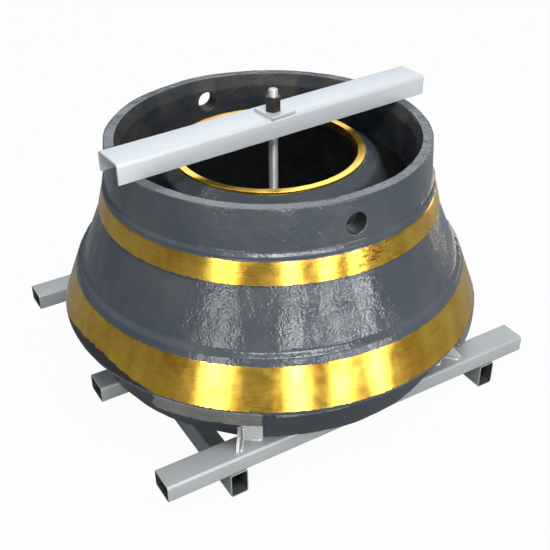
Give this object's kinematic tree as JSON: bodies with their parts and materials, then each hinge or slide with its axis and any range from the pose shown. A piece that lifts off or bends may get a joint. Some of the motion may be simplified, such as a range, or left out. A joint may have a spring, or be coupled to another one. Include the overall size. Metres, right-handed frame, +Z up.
{
  "type": "cone crusher mantle and bowl liner set",
  "caption": "Cone crusher mantle nested in its bowl liner, both clamped to a welded tube frame by a channel and a tie rod.",
  "frame": {"origin": "on the crusher axis, in the plane of the runner soles", "axes": "+Z up along the crusher axis, +X along the cross tubes, -Y towards the front cross tube"},
  "size_m": [0.933, 0.9328, 0.6873],
  "materials": {
    "liner_paint": "gloss grey paint over a sand casting, with two machined seats in gold varnish",
    "mantle_paint": "gloss grey paint over a sand casting, with a machined ring in gold varnish",
    "frame_paint": "satin silver-grey paint",
    "bright_steel": "silver-painted threaded rod",
    "black_steel": "black oxide"
  },
  "bodies": {
    "root": {"bowl_liner": "liner_paint", "mantle": "mantle_paint", "clamp_channel": "frame_paint", "clamp_plate": "frame_paint", "tie_rod": "bright_steel", "clamp_nut": "black_steel", "lock_nut": "black_steel", "anchor_plate": "frame_paint", "anchor_nut": "black_steel", "front_cross_tube": "frame_paint", "middle_cross_tube": "frame_paint", "rear_cross_tube": "frame_paint", "left_runner": "frame_paint", "right_runner": "frame_paint", "front_left_stop_plate": "frame_paint", "front_left_stop_gusset": "frame_paint", "front_right_stop_plate": "frame_paint", "front_right_stop_gusset": "frame_paint", "rear_left_stop_plate": "frame_paint", "rear_left_stop_gusset": "frame_paint", "rear_right_stop_plate": "frame_paint", "rear_right_stop_gusset": "frame_paint"}
  },
  "joints": []
}
